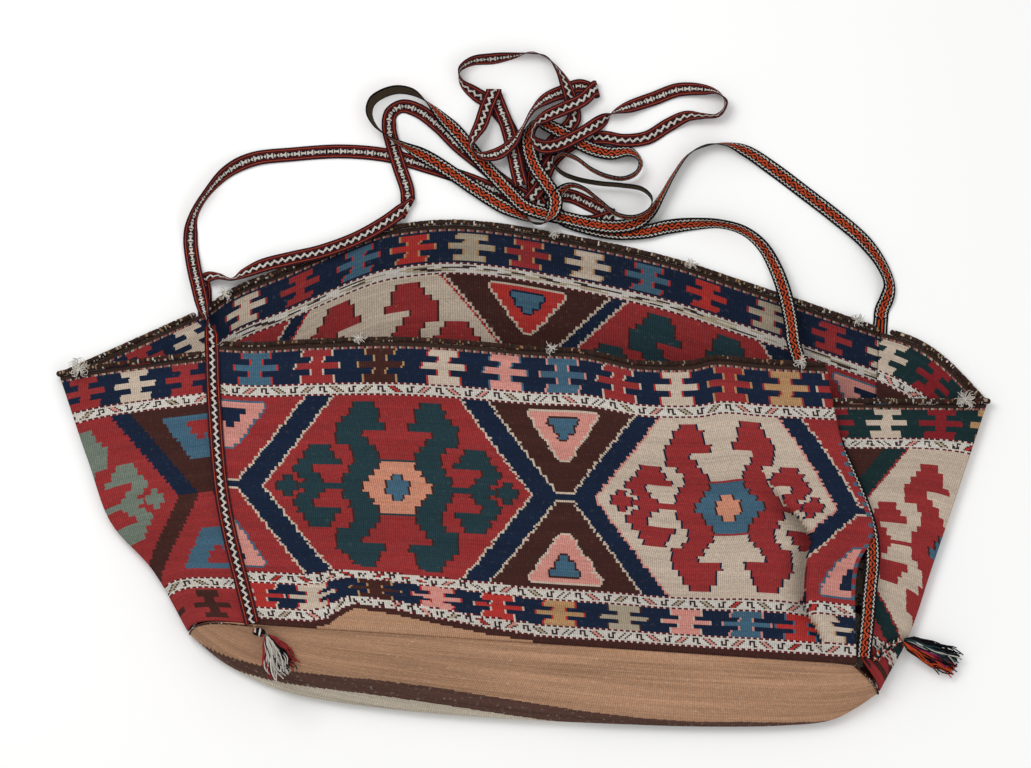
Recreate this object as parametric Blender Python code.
# A flat-woven bedding bag, lying on its back with its mouth towards +Y.
# The front, base and back are one length of cloth, the two end panels are sewn in,
# and two woven bands run down the corners and lie in long loops beyond the mouth.
# Units are metres. The bag rests on z = 0.
from math import cos, pi, radians, sin

import bpy
import numpy as np
from mathutils import Matrix

# Woven cloth
panel_width = 1.00
panel_height = 0.47
end_panel_depth = 0.25
cloth = 0.003
edge_roll = 0.011

# Heights of the front wall's inner face over the floor
lower_left_rise = 0.130
lower_right_rise = 0.068
mouth_left_rise = 0.060
mouth_right_rise = 0.052
mouth_gape = 0.024
lower_gape = 0.012
front_sag = 0.010

# Edging and bands
binding_radius = 0.0045
seam_radius = 0.0016
band_width = 0.024
band_thick = 0.002
band_run_out = 0.024
hinge_lift = 0.004

# Clearances between pieces that touch
gap = 0.0004
lap_gap = 0.0006
under_band_gap = 0.0018

# Knots, tassels and the cotton left from the lacing
left_knot_radius = 0.007
left_tassel_length = 0.078
left_tassel_radius = 0.014
left_tassel_stand_off = 0.007
right_plait_radius = 0.0065
right_tassel_length = 0.100
right_tassel_radius = 0.017
right_tassel_turn = -24
tassel_flat_share = 0.55
left_tassel_gap = 0.0038
right_tassel_gap = 0.0034
tuft_length = 0.018
tuft_radius = 0.0045
front_tuft_lean_shares = (0.3, 1, 0)
back_tuft_lean_shares = (-0.4, 1, 0)
tip_tuft_lean_shares = (0, 1, 0)

# Their outlines: shares of the length and of the radius
knot_shares = [(0, 0.55), (0.08, 0.85), (0.3, 1), (0.7, 1), (0.92, 0.75), (1, 0.45)]
tassel_shares = [(0, 0.3), (0.06, 0.42), (0.25, 0.62), (0.55, 0.9), (0.82, 1), (0.95, 0.82), (1, 0.45)]
lump_shares = [(0, 0.25), (0.15, 0.7), (0.4, 1), (0.65, 0.8), (0.9, 0.6), (1, 0.3)]

# Where they lie, in rows and columns of the cloth's grid
left_knot_rows = [(0.45, 0.3), (1.15, 1.1)]
left_tassel_tip_row = (4.0, 4.9)
right_plait_rows = [(11.65, 2.3), (11.0, 3.3), (10.4, 4.4), (10.05, 5.5)]
front_tuft_shares = (0.24, 0.55, 0.958)
back_tuft_shares = (0.035, 0.52, 0.72, 0.965)

# How finely the surfaces are divided
across_steps = 26
along_steps = 12
top_steps = 7
roll_steps = 3
under_steps = 4
band_stations = 170
seam_stations = 14
readings_per_row = 24
outline_readings = 80
corner_readings = 5
turned_sides = 12
sharp_angle = 50
dip_power = 6

# How the cloth bends where it goes round an open edge, as shares of the way to the fold
pull_share = 0.33
base_level_share = 0.8
base_lift_share = 0.55
end_level_share = 0.8
end_lift_share = 0.08
end_lift_growth_share = 0.47
left_straight_share = 0.7
right_straight_share = 1.0
band_inset_share = 0.3

# Outlines, as shares of panel_width across and of panel_height along the bag,
# measured from the middle of the bag's picture
front_mouth_shares = [(-0.492, 0.100), (-0.430, 0.090), (-0.330, 0.098), (-0.208, 0.103), (-0.110, 0.094),
                      (0.020, 0.070), (0.104, 0.061), (0.150, 0.042), (0.189, 0.023), (0.285, 0.024),
                      (0.322, 0.043), (0.394, 0.034), (0.504, 0.028)]
front_left_shares = [(-0.418, -0.915), (-0.468, -0.476), (-0.487, -0.097), (-0.492, 0.102)]
front_right_shares = [(0.543, -1.025), (0.549, -0.684), (0.575, -0.557), (0.535, -0.303), (0.517, -0.145),
                      (0.504, 0.028)]
right_band_shares = [(0.556, -1.000), (0.566, -0.806), (0.572, -0.572), (0.522, -0.264), (0.4645, 0.040)]
back_mouth_shares = [(-0.507, 0.251), (-0.461, 0.323), (-0.375, 0.402), (-0.236, 0.532), (-0.187, 0.556),
                     (-0.106, 0.571), (-0.024, 0.557), (0.073, 0.521), (0.171, 0.478), (0.269, 0.424),
                     (0.367, 0.352), (0.465, 0.280), (0.595, 0.180)]
bottom_shares = [(-0.526, -0.890), (-0.476, -0.983), (-0.416, -1.055), (-0.350, -1.106), (-0.187, -1.159),
                 (-0.024, -1.188), (0.139, -1.206), (0.302, -1.217), (0.432, -1.213), (0.505, -1.195),
                 (0.546, -1.152), (0.582, -1.098)]
back_slant_shares = (0.027, -0.035)
left_end_start_share = 0.965
right_end_start_share = -0.097

# The folded edge of each end panel, as shares of end_panel_depth across from the mouth corner
# of the bottom outline and of panel_height along
left_fold_shares = [(-0.862, 0.016), (-0.660, -0.294), (-0.512, -0.502), (-0.236, -0.671), (0.0, -0.890)]
right_fold_shares = [(0.736, -0.082), (0.516, -0.423), (0.360, -0.660), (0.196, -0.908), (0.0, -1.098)]
right_mouth_bulge_share = 0.10

# The photograph's scale and the tilt of its view, for the routes of the loose bands
metres_per_pixel = 0.00163
millimetre = 0.001
view_tilt = radians(75)
picture_middle = (515, 384)

# Loose bands: picture column and row, height over the floor in millimetres, and how far the
# band is turned about its own line in degrees. 0 shows its face, 90 stands it on edge and
# 180 shows its back. None marks a crease, where the band folds over.
zigzag_route = [
    (213, 344.5, 65.6, 0), (212.2, 334, 64, 25), (208, 321, 53, 90), (203, 307, 36, 150), (198, 290, 20, 180),
    (191, 262, 6, 180), (188, 238, 4.5, 190), (191, 215, 12, 240), (203, 193, 13, 250), (224, 170, 11, 225),
    (250, 157, 5, 190), (290, 152, 2, 180), (340, 149, 2, 180), (385, 153, 2, 180), (425, 164, 2, 180),
    (468, 178, 2, 180), (505, 192, 2, 180), (540, 196, 2, 180), (568, 194, 2, 180), (590, 203, 2, 180),
    (613, 215, 3.5, None), (590, 221, 5.5, 0), (560, 216, 5.5, 0), (540, 203, 5.5, 0), (533, 180, 5.5, 0),
    (540, 155, 5.5, 0), (558, 134, 5.5, 0), (574, 116, 6.5, 0), (572, 100, 9, 10), (567, 84, 12, 30),
    (559, 67, 13, 60), (547, 53, 13, 80), (531, 48, 13, 65), (514, 51, 13, 95), (493, 54, 12, 120),
    (470, 57, 13, 110), (458, 66, 13.5, 95), (460, 78, 13.5, 80), (473, 89, 10, 40), (488, 99, 3.5, 0),
    (501, 113, 2.5, 0), (512, 133, 3, 0), (517, 155, 8, 0), (519, 172, 14, 0), (520, 182, 17, None),
    (517, 170, 20, 180), (513, 150, 15, 180), (507, 125, 9, 180), (499, 104, 8, 180), (493, 88, 11, None),
    (486, 104, 15, 0), (480, 122, 19, 10), (472, 138, 25, 50), (471, 148, 26, 90), (481, 154, 25, 140),
    (497, 152, 25, 165), (512, 141, 24, 145), (523, 124, 22, 110), (533, 107, 15, 120), (547, 95, 8, 160),
    (563, 88, 4, 180), (580, 82, 5, 180), (595, 86, 10, None), (582, 97, 16, 0), (563, 106, 20, 0),
    (545, 115, 28, 20), (534, 125, 37, 65), (532, 136, 38, 75), (540, 144, 33, 40), (554, 144, 27, 10),
    (573, 136, 21, 0), (592, 125, 16, 0), (605, 116, 12, 55), (614, 110, 13, 115), (632, 103, 8, 165),
    (655, 95, 4, 180), (680, 86, 5, 180), (705, 86, 9, 155), (721, 90, 13, 115), (728, 100, 13, 80),
    (720, 112, 13, 60), (705, 113, 11, 50), (689, 113, 8, 25), (670, 122, 3, 0), (648, 135, 3, 0),
    (625, 138, 4, 6), (605, 135, 3, 0), (585, 136, 5, 0), (566, 145, 9.5, 0), (549, 163, 9.5, 0),
    (541, 183, 9.5, 0), (530, 198, 9.5, None), (515, 189, 6, 180), (498, 177, 5.5, 180), (479, 161, 5.5, 180),
    (457, 143, 5.5, 180), (436, 122, 5, 180), (416, 107, 6, 165), (400, 103, 9, 140), (389, 110, 8, 150),
    (387, 124, 6, 180), (391, 142, 6, 180), (398, 165, 6, 180), (406, 190, 6, 180), (406, 206, 10, None),
    (385, 221, 15, 0), (355, 238, 15, 0), (320, 251, 15, 0), (290, 258, 15, 0), (262, 265, 15, 5),
    (243, 273, 15, 35), (230, 279, 15, 65), (217, 276, 13, 50), (206, 277, 9, 25), (202, 282, 5, 5),
    (202.6, 290, 2, 0), (203.1, 299.5, 1.1, 0)]
orange_route = [
    (799.8, 365.4, 45.3, 0), (795.2, 354, 43.5, 0), (792, 341, 40, 0), (790, 322, 34, 0),
    (785, 295, 22, -10), (776, 268, 14, -30),
    (763, 245, 13, -50), (745, 230, 13, -65), (722, 223, 13, -70), (695, 223, 12, -50), (668, 226, 9, -20),
    (645, 231, 8.5, 0), (615, 232, 8.5, 0), (585, 226, 8.5, 0), (562, 217, 9, 0), (552, 204, 12.5, 0),
    (560, 191, 20, 50), (570, 184, 23, 85), (583, 187, 23, 90), (600, 200, 22, 90), (618, 214, 24, 90),
    (636, 216, 26, 90), (650, 208, 26, 90), (652, 197, 22, 90), (643, 188, 21, 90), (622, 184, 21, 90),
    (600, 182, 22, 90), (575, 177, 23, 90), (560, 170, 23, 90), (553, 160, 23, 90), (561, 152, 23, 90),
    (575, 156, 23, 90), (592, 168, 22, 90), (608, 175, 21, 90), (624, 177, 21, 90), (637, 171, 20, 85),
    (641, 160, 18, 70), (631, 150, 14, 35), (612, 151, 11, 5), (593, 147, 11.5, 0), (575, 138, 15, 0),
    (558, 128, 16, 5), (545, 122, 17, 20), (536, 121, 17, 40), (529, 130, 17, 30), (528, 145, 20, 5),
    (534, 164, 23, 0), (546, 182, 24, 0), (555, 197, 25, 0), (553, 212, 26, 25), (544, 222, 24, 75),
    (533, 222, 20, 80), (519, 214, 14, 35), (500, 204, 10, 0), (475, 188, 9.5, 0), (446, 168, 9.5, 0),
    (425, 155, 12, -30), (402, 143, 20, -80), (386, 134, 22, -100), (373, 123, 18, -110), (367, 110, 15, -115),
    (370, 98, 14, -115), (381, 90, 14, -112), (396, 86, 14, -108), (412, 89, 14, -100), (427, 100, 13, -70),
    (441, 115, 10, -30), (454, 128, 8.5, 0), (465, 141, 9, 0), (479, 158, 9, 0), (496, 177, 10, 0),
    (510, 192, 14, 0), (523, 205, 17, 0), (541, 212, 17, 0), (564, 217, 14, 0), (590, 223, 12.5, 0),
    (615, 226, 12.5, 0), (637, 222, 12.5, -10), (651, 212, 13, -40), (662, 195, 13, -60), (675, 172, 13, -70),
    (690, 152, 13, -75), (708, 143, 13, -80), (728, 142, 12, -60), (748, 149, 9, -20), (775, 167, 3, 0),
    (805, 190, 3, 0), (838, 216, 5, 0), (866, 241, 8, -10), (883, 265, 12, -30), (890, 285, 12, -35),
    (887, 299, 7, -10), (883.4, 307, 3, 0), (881.7, 313, 1.8, 0), (881.25, 319.3, 1.1, 0)]

# Colours, roughness and metallic value of each kind of piece
madder = (0.30, 0.045, 0.040)
indigo = (0.030, 0.045, 0.090)
tan = (0.36, 0.21, 0.12)
dark_brown = (0.075, 0.032, 0.022)
cotton = (0.68, 0.62, 0.52)
black_white = (0.10, 0.075, 0.085)
rust = (0.30, 0.075, 0.030)
wool_roughness = 0.9

# What all the solids share
loose_names = ("zigzag_band_loop", "orange_band_loop")
floor_top = band_thick + lap_gap
inner_floor = floor_top + cloth


def clear_scene():
    for item in list(bpy.data.objects):
        bpy.data.objects.remove(item, do_unlink=True)


def make_material(name, colour):
    material = bpy.data.materials.new(name)
    material.use_nodes = True
    shader = material.node_tree.nodes["Principled BSDF"]
    shader.inputs["Base Color"].default_value = (*colour, 1)
    shader.inputs["Roughness"].default_value = wool_roughness
    shader.inputs["Metallic"].default_value = 0
    return material


def add_object(name, data, colour):
    item = bpy.data.objects.new(name, data)
    item.data.materials.append(make_material(name, colour))
    bpy.context.scene.collection.objects.link(item)
    return item


def plan_points(shares):
    table = np.array(shares)
    return table * (panel_width, panel_height)


# Reads a smooth curve through rows of a table, where places run from 0 to 1 along its length.
def read_curve(rows, places):
    rows = np.asarray(rows, float)
    lengths = np.linalg.norm(np.diff(rows, axis=0), axis=1)
    knots = np.concatenate([[0], np.cumsum(np.sqrt(lengths))])
    slopes = np.gradient(rows, knots, axis=0)
    fine = np.linspace(0, knots[-1], len(rows) * readings_per_row)
    curve = hermite(rows, knots, slopes, fine)
    travelled = np.concatenate([[0], np.cumsum(np.linalg.norm(np.diff(curve, axis=0), axis=1))])
    wanted = np.asarray(places) * travelled[-1]
    return np.stack([np.interp(wanted, travelled, curve[:, k]) for k in range(curve.shape[1])], axis=1)


# Cubic pieces between knots, each leaving and meeting its knots at the given slopes.
def hermite(rows, knots, slopes, wanted):
    piece = np.clip(np.searchsorted(knots, wanted) - 1, 0, len(knots) - 2)
    step = knots[piece + 1] - knots[piece]
    t = ((wanted - knots[piece]) / step)[:, None]
    step = step[:, None]
    start = (2 * t ** 3 - 3 * t ** 2 + 1) * rows[piece] + (t ** 3 - 2 * t ** 2 + t) * step * slopes[piece]
    end = (3 * t ** 2 - 2 * t ** 3) * rows[piece + 1] + (t ** 3 - t ** 2) * step * slopes[piece + 1]
    return start + end


# The front wall, as a patch stretched between its four edges. u runs from the left seam to
# the right one and v from the lower edge to the mouth.
def front_plan(u, v):
    left = read_curve(plan_points(front_left_shares), v)
    right = read_curve(plan_points(front_right_shares), v)
    mouth = read_curve(plan_points(front_mouth_shares), u)
    low_left, low_right = left_end(), right_end()
    lower = low_left + (low_right - low_left) * np.asarray(u)[:, None]
    u = np.asarray(u)[:, None]
    v = np.asarray(v)[:, None]
    high_left = plan_points(front_mouth_shares)[0]
    high_right = plan_points(front_mouth_shares)[-1]
    corners = (1 - u) * (1 - v) * low_left + u * (1 - v) * low_right + (1 - u) * v * high_left + u * v * high_right
    return (1 - v) * lower + v * mouth + (1 - u) * left + u * right - corners


def left_end():
    return plan_points(front_left_shares)[0]


def right_end():
    return plan_points(front_right_shares)[0]


# Height of the front wall's inner face: its four corners, the gape of its long edges and
# the sag of its middle.
def front_rise(u, v):
    crown = 4 * u * (1 - u)
    corners = ((1 - u) * (1 - v) * lower_left_rise + u * (1 - v) * lower_right_rise
               + (1 - u) * v * mouth_left_rise + u * v * mouth_right_rise)
    gape = (v ** 2 * mouth_gape + (v * (1 - v)) * lower_gape) * crown
    return corners + gape - front_sag * crown * 4 * v * (1 - v)


def front_points(u, v):
    plan = front_plan(u, v)
    return np.column_stack([plan, front_rise(np.asarray(u), np.asarray(v))])


# One length of cloth round an open edge: from a on top, over the folded edge at m, and back
# along the floor to b. level keeps it flat as it leaves a, lift keeps it standing at the edge,
# and straight lets it come to the edge from a rather than square to the fold.
def wrap(a, m, b, level, lift, straight=0.0, bulge=0.0):
    out = unit(m[:2] - b[:2])
    edge = np.array([m[0], m[1], inner_floor + edge_roll])
    reach = edge - a
    leave = a + reach * pull_share * np.array([1, 1, 1 - level])
    arrive = edge + np.array([0, 0, (a[2] - edge[2]) * lift])
    heading = unit(unit(reach[:2]) * straight + out * (1 - straight))
    arrive[:2] -= heading * np.linalg.norm(reach[:2]) * pull_share * (1 - lift)
    t = np.linspace(0, 1, top_steps + 1)[:-1, None]
    top = ((1 - t) ** 3 * a + 3 * (1 - t) ** 2 * t * leave + 3 * (1 - t) * t ** 2 * arrive + t ** 3 * edge)
    angle = np.linspace(0, pi / 2, roll_steps + 1)[:-1, None]
    centre = edge - np.array([out[0], out[1], 0]) * edge_roll
    roll = centre + np.cos(angle) * np.append(out, 0) * edge_roll - np.sin(angle) * np.array([0, 0, edge_roll])
    t = np.linspace(0, 1, under_steps + 1)[:, None]
    start = centre - np.array([0, 0, edge_roll])
    under = start + (np.append(b[:2], inner_floor) - start) * t
    under[:, 1:2] += bulge * np.sin(pi * t)
    return np.concatenate([top, roll, under])


# A closed slab from a grid of points that lie on its inner face. flip is for a grid that
# winds the other way.
def add_sheet(name, grid, colour, flip=False):
    rows, columns = grid.shape[:2]
    points = grid.reshape(-1, 3)
    faces = []
    for i in range(rows - 1):
        for j in range(columns - 1):
            first = i * columns + j
            face = (first, first + 1, first + columns + 1, first + columns)
            faces.append(face[::-1] if flip else face)
    mesh = bpy.data.meshes.new(name)
    mesh.from_pydata([tuple(p) for p in points], [], faces)
    mesh.update()
    item = add_object(name, mesh, colour)
    shell = item.modifiers.new("cloth", "SOLIDIFY")
    shell.thickness = cloth
    shell.offset = 1
    shell.use_even_offset = True
    return item


def add_tube(name, points, radius, colour, resolution=2):
    curve = bpy.data.curves.new(name, "CURVE")
    curve.dimensions = "3D"
    curve.bevel_depth = radius
    curve.bevel_resolution = resolution
    curve.use_fill_caps = True
    spline = curve.splines.new("POLY")
    spline.points.add(len(points) - 1)
    for place, point in zip(spline.points, points):
        place.co = (*point, 1)
    return add_object(name, curve, colour)


# A closed flat strip: four corners at each station, and a cap on each end. Both faces are cut
# along the same diagonal, so that a twisted stretch keeps its thickness.
def add_strip(name, middle, across, up, thick, colour):
    half = across * band_width / 2
    depth = up * thick
    corners = np.stack([middle - half, middle + half, middle + half + depth, middle - half + depth], axis=1)
    count = len(middle)
    faces = [(3, 2, 1, 0)]
    for i in range(count - 1):
        near, far = i * 4, i * 4 + 4
        for a, b in ((0, 1), (1, 2), (3, 0)):
            faces += [(near + a, near + b, far + b), (near + a, far + b, far + a)]
        faces += [(near + 3, far + 3, far + 2), (near + 3, far + 2, near + 2)]
    last = (count - 1) * 4
    faces.append((last, last + 1, last + 2, last + 3))
    mesh = bpy.data.meshes.new(name)
    mesh.from_pydata([tuple(p) for p in corners.reshape(-1, 3)], [], faces)
    mesh.update()
    return add_object(name, mesh, colour)


# A turned solid from start to end. profile holds shares of the length and of the radius.
def add_turned(name, start, end, radius, profile, flat, colour):
    start, end = np.asarray(start), np.asarray(end)
    along = (end - start) / np.linalg.norm(end - start)
    side, up = sideways(along), upward(along)
    sides = turned_sides
    turn = np.arange(sides) * 2 * pi / sides
    ring = np.cos(turn)[:, None] * side + flat * np.sin(turn)[:, None] * up
    points = []
    for share, size in profile:
        points.append(start + (end - start) * share + ring * radius * size)
    points = np.concatenate(points)
    faces = [tuple(range(sides))]
    for i in range(len(profile) - 1):
        for k in range(sides):
            step = (k + 1) % sides
            near, far = i * sides, (i + 1) * sides
            faces.append((near + k, far + k, far + step, near + step))
    last = (len(profile) - 1) * sides
    faces.append(tuple(range(last + sides - 1, last - 1, -1)))
    mesh = bpy.data.meshes.new(name)
    mesh.from_pydata([tuple(p) for p in points], [], faces)
    mesh.update()
    mesh.shade_smooth()
    mesh.set_sharp_from_angle(angle=radians(sharp_angle))
    return add_object(name, mesh, colour)


def from_picture(column, row, rise):
    x = (column - picture_middle[0]) * metres_per_pixel
    up = (picture_middle[1] - row) * metres_per_pixel
    return np.array([x, (up - rise * cos(view_tilt)) / sin(view_tilt), rise])


def unit(vectors):
    return vectors / np.linalg.norm(vectors, axis=-1, keepdims=True)


# Places, width directions and face normals of a loose band. Stations are about evenly spaced,
# and one stands on each crease, where the band folds over itself and its normal lies level.
def band_frames(route, stations):
    places = np.array([from_picture(row[0], row[1], row[2] * millimetre) for row in route])
    creases = [i for i, row in enumerate(route) if row[3] is None]
    last = len(route) - 1
    widths, normals = [], []
    for i, row in enumerate(route):
        before = i if i - 1 in creases else max(i - 1, 0)
        after = i if i + 1 in creases else min(i + 1, last)
        if i in creases:
            into, away = places[i] - places[i - 1], places[i + 1] - places[i]
            width = lean(into, route[i - 1][3]) + lean(away, route[i + 1][3])
            along = np.array([0, 0, np.sign(places[i + 1][2] - places[i - 1][2])])
        else:
            along = places[after] - places[before]
            width = lean(along, row[3])
        widths.append(unit(width))
        normals.append(unit(np.cross(unit(along), unit(width))))
    rows = np.column_stack([places, widths, normals])
    lengths = np.linalg.norm(np.diff(places, axis=0), axis=1)
    knots = np.concatenate([[0], np.cumsum(np.sqrt(lengths))])
    slopes = np.gradient(rows, knots, axis=0)
    fine_knots = np.unique(np.concatenate([knots, np.linspace(0, knots[-1], last * readings_per_row)]))
    fine = hermite(rows, knots, slopes, fine_knots)
    travelled = np.concatenate([[0], np.cumsum(np.linalg.norm(np.diff(fine[:, :3], axis=0), axis=1))])
    spacing = travelled[-1] / stations
    stops = np.interp(knots[[0] + creases + [last]], fine_knots, travelled)
    wanted = [0.0]
    for start, end in zip(stops[:-1], stops[1:]):
        wanted += list(np.linspace(start, end, max(2, round((end - start) / spacing)) + 1)[1:])
    even = np.stack([np.interp(wanted, travelled, fine[:, k]) for k in range(fine.shape[1])], axis=1)
    line, width, normal = even[:, :3], unit(even[:, 3:6]), even[:, 6:9]
    normal = unit(normal - width * np.sum(normal * width, axis=1, keepdims=True))
    return line, width, normal, travelled[-1]


def lean(direction, degrees):
    flat = unit(np.array([-direction[1], direction[0], 0.0]))
    return flat * cos(radians(degrees)) + np.array([0, 0, 1]) * sin(radians(degrees))


def build_cloth():
    u, v = np.meshgrid(np.linspace(0, 1, across_steps + 1), np.linspace(0, 1, along_steps + 1))
    front = front_points(u.ravel(), v.ravel()).reshape(along_steps + 1, across_steps + 1, 3)
    hinge_gap = np.array([0, gap, 0])
    front[0] += hinge_gap
    add_sheet("front_panel", front, madder)

    mouth = read_curve(plan_points(back_mouth_shares), np.linspace(0, 1, across_steps + 1))
    lower = mouth - (0, panel_height)
    slant = np.linspace(back_slant_shares[0], back_slant_shares[1], across_steps + 1) * panel_width
    lower[:, 0] += slant
    share = np.linspace(0, 1, along_steps + 1)[:, None, None]
    plan = lower * (1 - share) + mouth * share
    back = np.dstack([plan, np.full(plan.shape[:2], inner_floor)])
    add_sheet("back_panel", back, indigo, flip=True)
    return back


# The two end panels and the base share the shape of the cloth round the open edge.
def build_wrapped(back):
    shift = seam_radius + lap_gap
    floor_left, floor_right = back[0, 0], back[0, -1]
    mouth_left, mouth_right = back[-1, 0], back[-1, -1]

    bottom = read_curve(plan_points(bottom_shares), np.linspace(0, 1, across_steps + 1))
    base = []
    for i, u in enumerate(np.linspace(0, 1, across_steps + 1)):
        top = front_points([u], [0.0])[0]
        under = back[0, i] - (0, gap, 0)
        base.append(wrap(top, np.append(bottom[i], 0), under, base_level_share, base_lift_share))
    base = np.array(base)
    ends = np.array([base[0], base[-1]])
    base[0] += (shift / 2, -shift, 0)
    base[-1] += (-shift, -shift, 0)
    add_sheet("base_panel", base, tan)

    left = end_grid(left_front_line(), left_fold_shares, bottom_shares[0], mouth_left, floor_left,
                    left_straight_share, 0.0)
    left[:, -1 - under_steps:, 0] -= np.linspace(0, gap, under_steps + 1)
    left[-1] += (-shift / 2, shift, 0)
    add_sheet("left_end_panel", left, madder)
    right = end_grid(right_front_line(), right_fold_shares, bottom_shares[-1], mouth_right, floor_right,
                     right_straight_share, right_mouth_bulge_share)
    right[:, -1 - under_steps:, 0] += np.linspace(0, gap, under_steps + 1)
    right[-1] += (shift, shift, 0)
    add_sheet("right_end_panel", right, madder, flip=True)

    middle = cloth / 2
    for name, line, away in (("base_left_seam", ends[0], -1), ("base_right_seam", ends[1], 1)):
        normals = profile_normals(line, away)
        add_tube(name, line + normals * middle, seam_radius, dark_brown)
    return left, right, base


# Which way is out of the bag at each point of a wrapped edge: up on top, down underneath.
def profile_normals(line, away):
    tangent = unit(np.gradient(line, axis=0))
    side = np.array([0, away * -1.0, 0])
    normal = np.cross(tangent, side)
    return unit(normal)


def left_front_line():
    t = np.linspace(0, 1, along_steps + 1)
    line = front_points(np.zeros(along_steps + 1), (1 - t) * left_end_start_share)
    line[:, 0] -= gap
    return line


def right_front_line():
    t = np.linspace(0, 1, along_steps + 1)
    start = right_band_place(right_end_start_share)
    seam = read_curve(plan_points(right_band_shares), np.linspace(1, 0, outline_readings))
    y = np.linspace(start[1], seam[-1][1], along_steps + 1)
    x = np.interp(y, seam[::-1, 1], seam[::-1, 0]) - band_width * band_inset_share
    v = 1 - t
    rise = front_rise(np.ones(along_steps + 1), v) - under_band_gap - band_thick - cloth
    return np.column_stack([x, y, rise])


def right_band_place(y_share):
    seam = read_curve(plan_points(right_band_shares), np.linspace(0, 1, outline_readings))
    y = y_share * panel_height
    return np.array([np.interp(y, seam[:, 1], seam[:, 0]), y])


# An end panel's rows, from the mouth to the bag's corner. Its mouth edge runs straight to the tip.
def end_grid(front_line, fold_shares, corner_share, mouth_corner, floor_corner, straight_share, bulge_share):
    corner = np.array(corner_share) * (panel_width, panel_height)
    folds = np.array([(corner[0] + x * end_panel_depth, y * panel_height) for x, y in fold_shares])
    fold = read_curve(folds, np.linspace(0, 1, along_steps + 1))
    rows = []
    for i, t in enumerate(np.linspace(0, 1, along_steps + 1)):
        inner = mouth_corner * (1 - t) + floor_corner * t
        bulge = bulge_share * end_panel_depth * (1 - t) ** 2
        level = end_level_share * t ** 3
        lift = end_lift_share + end_lift_growth_share * t ** 3
        straight = straight_share * (1 - t) ** 2
        rows.append(wrap(front_line[i], np.append(fold[i], 0), inner, level, lift, straight, bulge))
    return np.array(rows)


def build_bindings(back, left, right):
    clear = binding_radius + gap
    middle = cloth / 2
    columns = np.linspace(0, 1, across_steps + 1)
    beside_band = (band_width / 2 + clear) / panel_width
    u = np.append(beside_band, columns[columns > beside_band])
    edge = front_points(u, np.ones(len(u)))
    along = unit(np.gradient(edge[:, :2], axis=0)) * clear
    line = edge + np.column_stack([-along[:, 1], along[:, 0], np.full(len(u), middle)])
    add_tube("front_mouth_binding", line, binding_radius, dark_brown)

    line = back[-1].copy()
    line[:, 1] += clear
    line[:, 2] = floor_top + binding_radius
    add_tube("back_mouth_binding", line, binding_radius, dark_brown)

    for name, grid in (("left_end_binding", left), ("right_end_binding", right)):
        add_tube(name, end_binding_line(grid)[1:-1], binding_radius, dark_brown)


# The binding's middle along the mouth edge of an end panel.
def end_binding_line(grid):
    beyond = unit(grid[0] - grid[1])
    line = grid[0] + beyond * (binding_radius + gap + lap_gap)
    line[:, 2] = np.maximum(grid[0][:, 2] + cloth / 2, floor_top + binding_radius)
    return line


def build_sewn_bands(back):
    v = np.linspace(0, 1, seam_stations)
    line = front_points(np.zeros(seam_stations), v)
    under = np.linspace(0, band_width / panel_width / 2, corner_readings)
    rise = np.array([np.max(front_rise(under, one)) for one in v])
    line[:, 2] = rise + cloth + lap_gap
    tangent = unit(np.gradient(line, axis=0))
    across = unit(np.cross((0, 0, 1), tangent))
    up = np.cross(tangent, across)
    add_strip("zigzag_band_front_seam", line, across, up, band_thick, black_white)

    seam = read_curve(plan_points(right_band_shares), v)
    rise = front_rise(np.ones(seam_stations), v)
    dip = (binding_radius + lap_gap) * v ** dip_power
    line = np.column_stack([seam, rise - lap_gap - band_thick - dip])
    line[0, 1] += gap
    tangent = unit(np.gradient(line, axis=0))
    across = unit(np.cross((0, 0, 1), tangent))
    up = np.cross(tangent, across)
    add_strip("orange_band_front_seam", line, across, up, band_thick, rust)

    for name, column, colour in (("zigzag_band_back_seam", 0, black_white), ("orange_band_back_seam", -1, rust)):
        line = back[:, column].copy()
        line[:, 2] = 0
        line[-1] += unit(line[-1] - line[-2]) * band_run_out
        tangent = unit(np.gradient(line, axis=0))
        across = unit(np.cross((0, 0, 1), tangent))
        up = np.cross(tangent, across)
        add_strip(name, line, across, up, band_thick, colour)


def build_loose_bands():
    for name, route, colour in (("zigzag_band_loop", zigzag_route, black_white),
                                ("orange_band_loop", orange_route, rust)):
        line, width, normal, length = band_frames(route, band_stations)
        add_strip(name, line - normal * band_thick / 2, width, normal, band_thick, colour)
        print(name, "length", round(float(length), 3))


# Which way is out of the bag at each point of a grid of cloth.
def outward(grid, flip=False):
    normal = unit(np.cross(np.gradient(grid, axis=1), np.gradient(grid, axis=0)))
    return -normal if flip else normal


# A place on a grid, at a row and a column that need not be whole, lifted off the inner face.
def on_cloth(grid, row, column, lift, flip=False):
    lifted = grid + outward(grid, flip) * lift
    i = min(int(row), len(grid) - 2)
    j = min(int(column), grid.shape[1] - 2)
    a, b = row - i, column - j
    near = lifted[i, j] * (1 - b) + lifted[i, j + 1] * b
    far = lifted[i + 1, j] * (1 - b) + lifted[i + 1, j + 1] * b
    return near * (1 - a) + far * a


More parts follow.
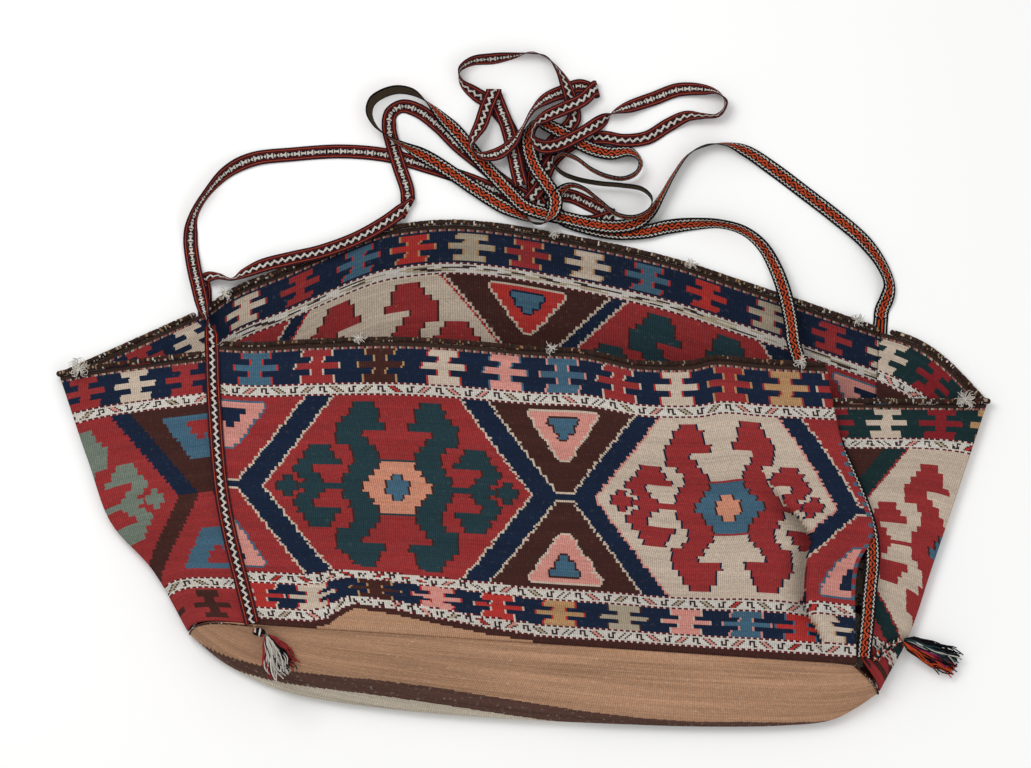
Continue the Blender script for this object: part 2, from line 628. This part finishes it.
# The bands' free ends: each is bound into a knot or a plait, and opens into a tassel.
def build_tassels(base, right):
    lift = cloth + lap_gap
    knot_lift = lift + left_knot_radius + gap
    knot_start = on_cloth(base, left_knot_rows[0][0], left_knot_rows[0][1], knot_lift)
    knot_end = on_cloth(base, left_knot_rows[1][0], left_knot_rows[1][1], knot_lift)
    add_turned("left_band_knot", knot_start, knot_end, left_knot_radius, knot_shares, 1, rust)

    tip_lift = lift + left_tassel_radius * tassel_flat_share + left_tassel_stand_off
    tip = on_cloth(base, left_tassel_tip_row[0], left_tassel_tip_row[1], tip_lift)
    along = unit(tip - knot_end)
    start = knot_end + along * left_tassel_gap
    add_turned("left_tassel", start, start + along * left_tassel_length, left_tassel_radius,
               tassel_shares, tassel_flat_share, black_white)
    left_hinge = start + upward(along) * left_tassel_radius * tassel_shares[0][1] * tassel_flat_share
    print("left tassel turns about", np.round(sideways(along), 5))

    plait_lift = lift + right_plait_radius + gap
    plait = [on_cloth(right, row, column, plait_lift, True) for row, column in right_plait_rows]
    plait = read_curve(plait, np.linspace(0, 1, seam_stations))
    add_tube("right_band_plait", plait, right_plait_radius, rust)

    along = unit(plait[-1] - plait[-2])
    start = plait[-1] + along * right_tassel_gap
    tip_height = right_tassel_radius * tassel_flat_share + lap_gap
    turn = radians(right_tassel_turn)
    fall = tip_height - start[2]
    level = np.sqrt(right_tassel_length ** 2 - fall ** 2)
    end = start + (cos(turn) * level, sin(turn) * level, fall)
    add_turned("right_tassel", start, end, right_tassel_radius, tassel_shares, tassel_flat_share, black_white)
    along = unit(end - start)
    right_hinge = start + upward(along) * right_tassel_radius * tassel_shares[0][1] * tassel_flat_share
    print("right tassel turns about", np.round(sideways(along), 5))
    return left_hinge, right_hinge


# Level and square to a direction, and square to both: the way a piece turns and its upper side.
def sideways(along):
    return unit(np.cross(along, (0, 0, 1)))


def upward(along):
    return np.cross(sideways(along), along)


# Lumps of the white cotton that once laced the mouth, lying on the bindings and at the tips.
def build_tufts(back, left, right):
    over = binding_radius + tuft_radius + gap
    beside = np.array([0, binding_radius + gap, 0])
    for i, share in enumerate(front_tuft_shares):
        edge = front_points([share], [1.0])[0]
        place = edge + beside + (0, 0, cloth / 2 + over)
        add_tuft("front_lacing_tuft_%d" % (i + 1), place, front_tuft_lean_shares)
    for i, share in enumerate(back_tuft_shares):
        place = read_curve(back[-1], [share])[0] + beside
        place[2] = floor_top + binding_radius + over
        add_tuft("back_lacing_tuft_%d" % (i + 1), place, back_tuft_lean_shares)
    for name, grid in (("left_tip_tuft", left), ("right_tip_tuft", right)):
        add_tuft(name, end_binding_line(grid)[top_steps - 1] + (0, 0, over), tip_tuft_lean_shares)


def add_tuft(name, place, direction):
    half = unit(np.array(direction, float)) * tuft_length / 2
    add_turned(name, place - half, place + half, tuft_radius, lump_shares, 1, cotton)


def add_empty(name, place, parent=None):
    empty = bpy.data.objects.new(name, None)
    empty.location = place
    empty.parent = parent
    bpy.context.scene.collection.objects.link(empty)
    return empty


# The bag without its loose bands is centred on the origin and stands on z = 0.
def lowest_middle():
    bpy.context.view_layer.update()
    graph = bpy.context.evaluated_depsgraph_get()
    corners = []
    for item in bpy.context.scene.objects:
        if item.name in loose_names:
            continue
        mesh = item.evaluated_get(graph).to_mesh()
        places = np.empty(len(mesh.vertices) * 3)
        mesh.vertices.foreach_get("co", places)
        places = places.reshape(-1, 3)
        corners += [places.min(axis=0), places.max(axis=0)]
    low, high = np.min(corners, axis=0), np.max(corners, axis=0)
    return np.array([(low[0] + high[0]) / 2, (low[1] + high[1]) / 2, 0])


# Everything hangs from one empty that carries the shift, and what moves hangs from an empty
# on its own hinge.
def join_up(left_hinge, right_hinge):
    middle = lowest_middle()
    bag = add_empty("bag_place", -middle)
    low_left, low_right = front_points([0, 1], [0, 0])
    front_hinge = low_left + (0, 0, cloth + hinge_lift)
    hinges = {"front_wall_hinge": front_hinge, "left_tassel_hinge": left_hinge, "right_tassel_hinge": right_hinge}
    carried = {"front_panel": "front_wall_hinge", "front_mouth_binding": "front_wall_hinge",
               "zigzag_band_front_seam": "front_wall_hinge", "orange_band_front_seam": "front_wall_hinge",
               "left_tassel": "left_tassel_hinge", "right_tassel": "right_tassel_hinge"}
    for i in range(len(front_tuft_shares)):
        carried["front_lacing_tuft_%d" % (i + 1)] = "front_wall_hinge"
    pieces = [item for item in bpy.context.scene.objects if item.type != "EMPTY"]
    empties = {name: add_empty(name, place, bag) for name, place in hinges.items()}
    for item in pieces:
        hinge = carried.get(item.name)
        if hinge is None:
            item.parent = bag
            continue
        item.parent = empties[hinge]
        item.matrix_parent_inverse = Matrix.Translation([-float(k) for k in hinges[hinge]])
    print("shift", [round(float(k), 6) for k in -middle])
    for name, place in hinges.items():
        print(name, [round(float(k), 6) for k in place - middle])
    line = unit(low_right - low_left)
    print("front wall hinge runs along", [round(float(k), 5) for k in line])


def main():
    clear_scene()
    back = build_cloth()
    left, right, base = build_wrapped(back)
    build_bindings(back, left, right)
    build_sewn_bands(back)
    left_hinge, right_hinge = build_tassels(base, right)
    build_tufts(back, left, right)
    build_loose_bands()
    join_up(left_hinge, right_hinge)


main()
